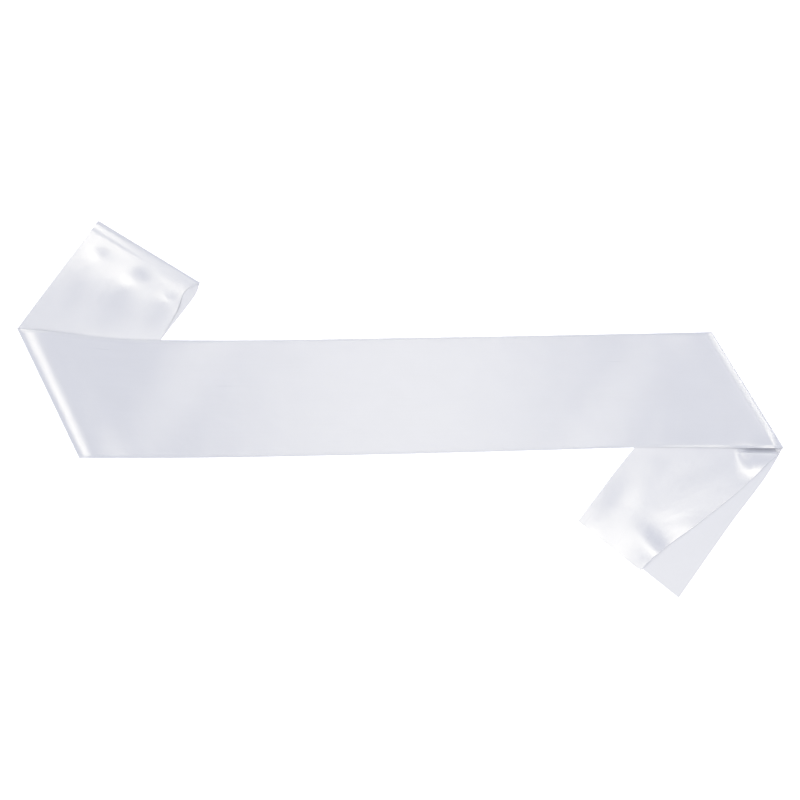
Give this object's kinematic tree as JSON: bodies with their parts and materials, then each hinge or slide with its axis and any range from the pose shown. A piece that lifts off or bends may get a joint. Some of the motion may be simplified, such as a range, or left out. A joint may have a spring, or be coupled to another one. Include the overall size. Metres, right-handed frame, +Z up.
{
  "type": "satin sash",
  "caption": "Plain white satin sash, one long strip folded in half and then in a Z, lying flat with slanted folds and angled ends.",
  "frame": {"origin": "middle of the sash's box, on the surface it lies on", "axes": "+X along the long band to the right, +Y across it towards the folded-in-half end, +Z up from the surface"},
  "size_m": [0.6544, 0.3218, 0.0084],
  "materials": {
    "satin": "satin"
  },
  "bodies": {
    "root": {"front_band": "satin", "back_band": "satin", "left_end": "satin", "tail_upper": "satin", "tail_lower": "satin"}
  },
  "joints": []
}
